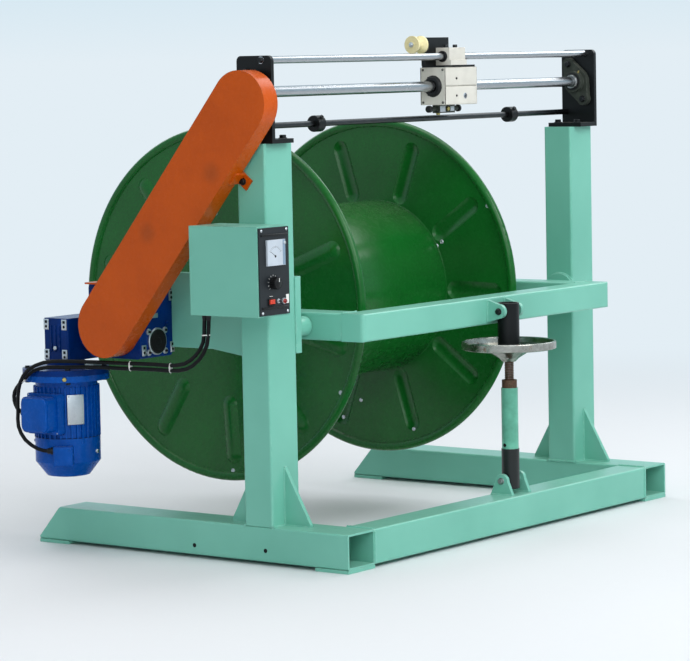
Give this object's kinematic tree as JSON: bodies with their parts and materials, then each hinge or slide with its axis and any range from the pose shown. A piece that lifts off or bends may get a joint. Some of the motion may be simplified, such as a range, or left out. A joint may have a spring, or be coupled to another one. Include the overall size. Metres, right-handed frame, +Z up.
{
  "type": "wire take-up machine",
  "caption": "Welded tube stand with a screw-jacked yoke holding a ribbed steel reel, a worm-gear motor drive under a chain guard, and a rolling-ring traverse on top.",
  "frame": {"origin": "On the floor, under the middle of the overall box seen from above.", "axes": "+X along the reel axis away from the drive side, -Y to the front where the jack stands, +Z up."},
  "size_m": [1.4828, 1.151, 1.183],
  "materials": {
    "mint_paint": "satin enamel",
    "reel_green": "gloss enamel",
    "guard_orange": "satin enamel",
    "gear_blue": "gloss paint",
    "motor_blue": "gloss paint",
    "black_steel": "satin black",
    "chrome_rod": "polished",
    "bare_steel": "worn bare steel",
    "cast_gray": "as cast",
    "rusty_steel": "rusted",
    "off_white": "matt enamel",
    "nylon": "turned",
    "panel_black": "satin",
    "meter_white": "clear fronted",
    "cable_black": "moulded",
    "red_plastic": "moulded"
  },
  "bodies": {
    "frame": {"base_side_tubes": "mint_paint", "front_base_tube": "mint_paint", "foot_pads": "mint_paint", "left_column": "mint_paint", "right_column": "mint_paint", "column_gussets": "mint_paint", "drive_plate": "mint_paint", "pivot_pins": "mint_paint", "jack_base_ears": "mint_paint", "jack_tube": "mint_paint", "jack_nut": "rusty_steel", "control_box": "mint_paint", "control_panel": "panel_black", "panel_meter": "meter_white", "panel_switches": "red_plastic", "top_brackets": "black_steel", "flange_bearings": "cast_gray", "guide_rod": "chrome_rod", "stop_rod": "black_steel", "stop_collars": "black_steel", "main_gearbox": "gear_blue", "worm_end_cap": "panel_black", "gearbox_flange": "gear_blue", "first_gearbox": "gear_blue", "motor_body": "motor_blue", "motor_fan_cover": "motor_blue", "motor_boxes": "motor_blue", "motor_leads": "cable_black", "chain_guard": "guard_orange"},
    "yoke": {"yoke_front_tube": "mint_paint", "yoke_arms": "mint_paint", "yoke_jack_ears": "mint_paint"},
    "reel": {"reel_left_flange": "reel_green", "reel_right_flange": "reel_green", "reel_barrel": "reel_green", "reel_shaft": "bare_steel"},
    "traverse_shaft": {"traverse_shaft": "chrome_rod"},
    "carriage": {"carriage_body": "off_white", "carriage_rod_block": "off_white", "carriage_bracket": "black_steel", "carriage_lever": "black_steel"},
    "guide_roller": {"guide_roller": "nylon"},
    "jack_sleeve": {"jack_sleeve": "black_steel"},
    "jack_screw": {"jack_screw": "bare_steel", "handwheel": "bare_steel"},
    "panel_knob": {"panel_knob": "panel_black"}
  },
  "joints": [
    {"name": "yoke_lift", "type": "hinge", "parent": "frame", "child": "yoke", "pos_m": [0.05925, -0.2625, 0.527], "axis": [-1, 0, 0], "range_deg": [0, 15]},
    {"name": "reel_spin", "type": "hinge", "parent": "yoke", "child": "reel", "pos_m": [0.05925, 0.1455, 0.548], "axis": [1, 0, 0], "continuous": true},
    {"name": "traverse_spin", "type": "hinge", "parent": "frame", "child": "traverse_shaft", "pos_m": [0.05925, -0.2695, 1.062], "axis": [1, 0, 0], "continuous": true},
    {"name": "carriage_travel", "type": "slide", "parent": "frame", "child": "carriage", "axis": [1, 0, 0], "range_m": [-0.407, 0.243]},
    {"name": "roller_spin", "type": "hinge", "parent": "carriage", "child": "guide_roller", "pos_m": [0.01725, -0.2645, 1.162], "axis": [1, 0, 0], "continuous": true},
    {"name": "jack_lift", "type": "slide", "parent": "frame", "child": "jack_sleeve", "axis": [0, 0, 1], "range_m": [0, 0.053]},
    {"name": "handwheel_spin", "type": "hinge", "parent": "jack_sleeve", "child": "jack_screw", "pos_m": [0.09725, -0.4625, 0.44], "axis": [0, 0, 1], "continuous": true},
    {"name": "knob_turn", "type": "hinge", "parent": "frame", "child": "panel_knob", "pos_m": [-0.67515, -0.3625, 0.64463], "axis": [0, 1, 0], "range_deg": [0, 270]}
  ],
  "couplings": [
    {"joint": "traverse_spin", "follows": "reel_spin", "ratio": 1},
    {"joint": "jack_lift", "follows": "yoke_lift", "m_per_rad": 0.2}
  ]
}
